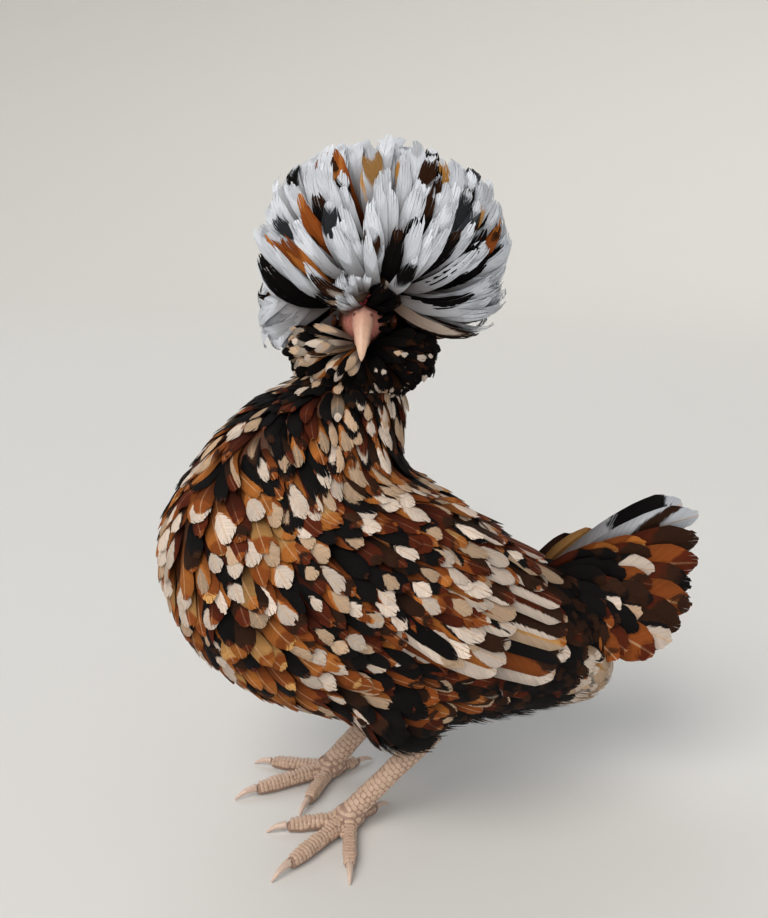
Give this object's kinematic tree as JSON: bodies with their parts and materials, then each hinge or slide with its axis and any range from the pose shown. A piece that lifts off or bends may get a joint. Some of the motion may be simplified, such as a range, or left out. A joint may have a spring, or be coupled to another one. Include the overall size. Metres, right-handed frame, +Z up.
{
  "type": "polish crested chicken",
  "caption": "Standing hen with a round feather crest hiding the top of its head, a full beard, a folded-wing body and a short fanned tail. Still display model.",
  "frame": {"origin": "on the floor, under the middle of the bird's box", "axes": "+Z up, the body faces -Y, +X is the bird's left side and the head is turned towards it"},
  "size_m": [0.1616, 0.3034, 0.3499],
  "materials": {
    "body_feathers": "soft overlapping feathers, golden brown with black bars and white tips",
    "neck_feathers": "soft narrow feathers, cream and white over black and gold",
    "wing_feathers": "smooth firm feathers, mahogany with black bars and white tips",
    "tail_feathers": "smooth firm feathers, black and mahogany with white tips",
    "thigh_feathers": "fluffy grey-brown feathers",
    "crest_feathers": "soft rounded feathers, white with black and amber",
    "beard_feathers": "short soft feathers, black with cream tips",
    "face_skin": "bare matt skin",
    "comb": "fleshy, slightly waxy",
    "beak_horn": "satin horn, pink",
    "claw_horn": "satin horn, cream",
    "leg_scales": "satin horny scales, pinkish grey",
    "eye": "wet, red-brown iris and black pupil"
  },
  "bodies": {
    "root": {"torso": "body_feathers", "neck": "neck_feathers", "head": "face_skin", "comb": "comb", "upper_beak": "beak_horn", "lower_beak": "beak_horn", "beard": "beard_feathers", "crest": "crest_feathers", "tail": "tail_feathers", "left_eye": "eye", "right_eye": "eye", "left_wing": "wing_feathers", "right_wing": "wing_feathers", "left_thigh": "thigh_feathers", "right_thigh": "thigh_feathers", "left_shank": "leg_scales", "right_shank": "leg_scales", "left_middle_toe": "leg_scales", "left_inner_toe": "leg_scales", "left_outer_toe": "leg_scales", "left_hind_toe": "leg_scales", "right_middle_toe": "leg_scales", "right_inner_toe": "leg_scales", "right_outer_toe": "leg_scales", "right_hind_toe": "leg_scales", "left_middle_claw": "claw_horn", "left_inner_claw": "claw_horn", "left_outer_claw": "claw_horn", "left_hind_claw": "claw_horn", "right_middle_claw": "claw_horn", "right_inner_claw": "claw_horn", "right_outer_claw": "claw_horn", "right_hind_claw": "claw_horn"}
  },
  "joints": []
}
